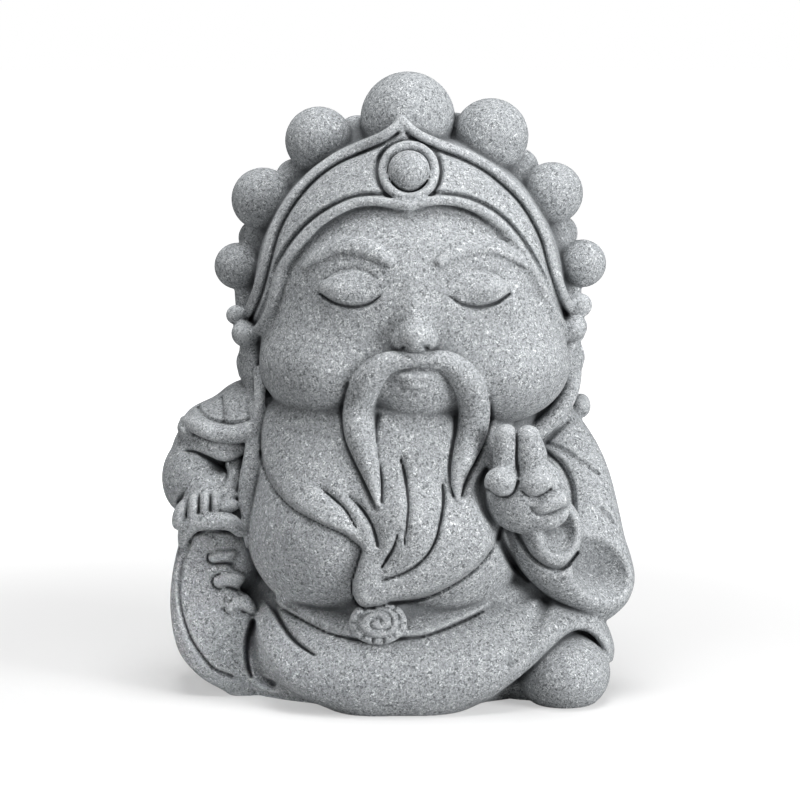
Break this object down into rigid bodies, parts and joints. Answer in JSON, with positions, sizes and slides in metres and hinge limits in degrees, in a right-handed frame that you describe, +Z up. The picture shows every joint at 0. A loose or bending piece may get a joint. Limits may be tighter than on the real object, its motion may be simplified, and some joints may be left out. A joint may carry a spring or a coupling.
{
  "type": "guan yu statue",
  "caption": "Seated, round-bellied guardian statue of cast stone with a pompom crown, long beard, raised hand and lowered crescent blade, standing on its flat underside.",
  "frame": {"origin": "centre of the statue's bounding box on the plane of its flat underside", "axes": "+Z up, -Y the way the figure faces, +X to the right of someone looking at its front"},
  "size_m": [0.2306, 0.1692, 0.3001],
  "materials": {
    "grey_cast_stone": "matt, fine speckled grain"
  },
  "bodies": {
    "root": {"guan_yu_statue": "grey_cast_stone"}
  },
  "joints": []
}
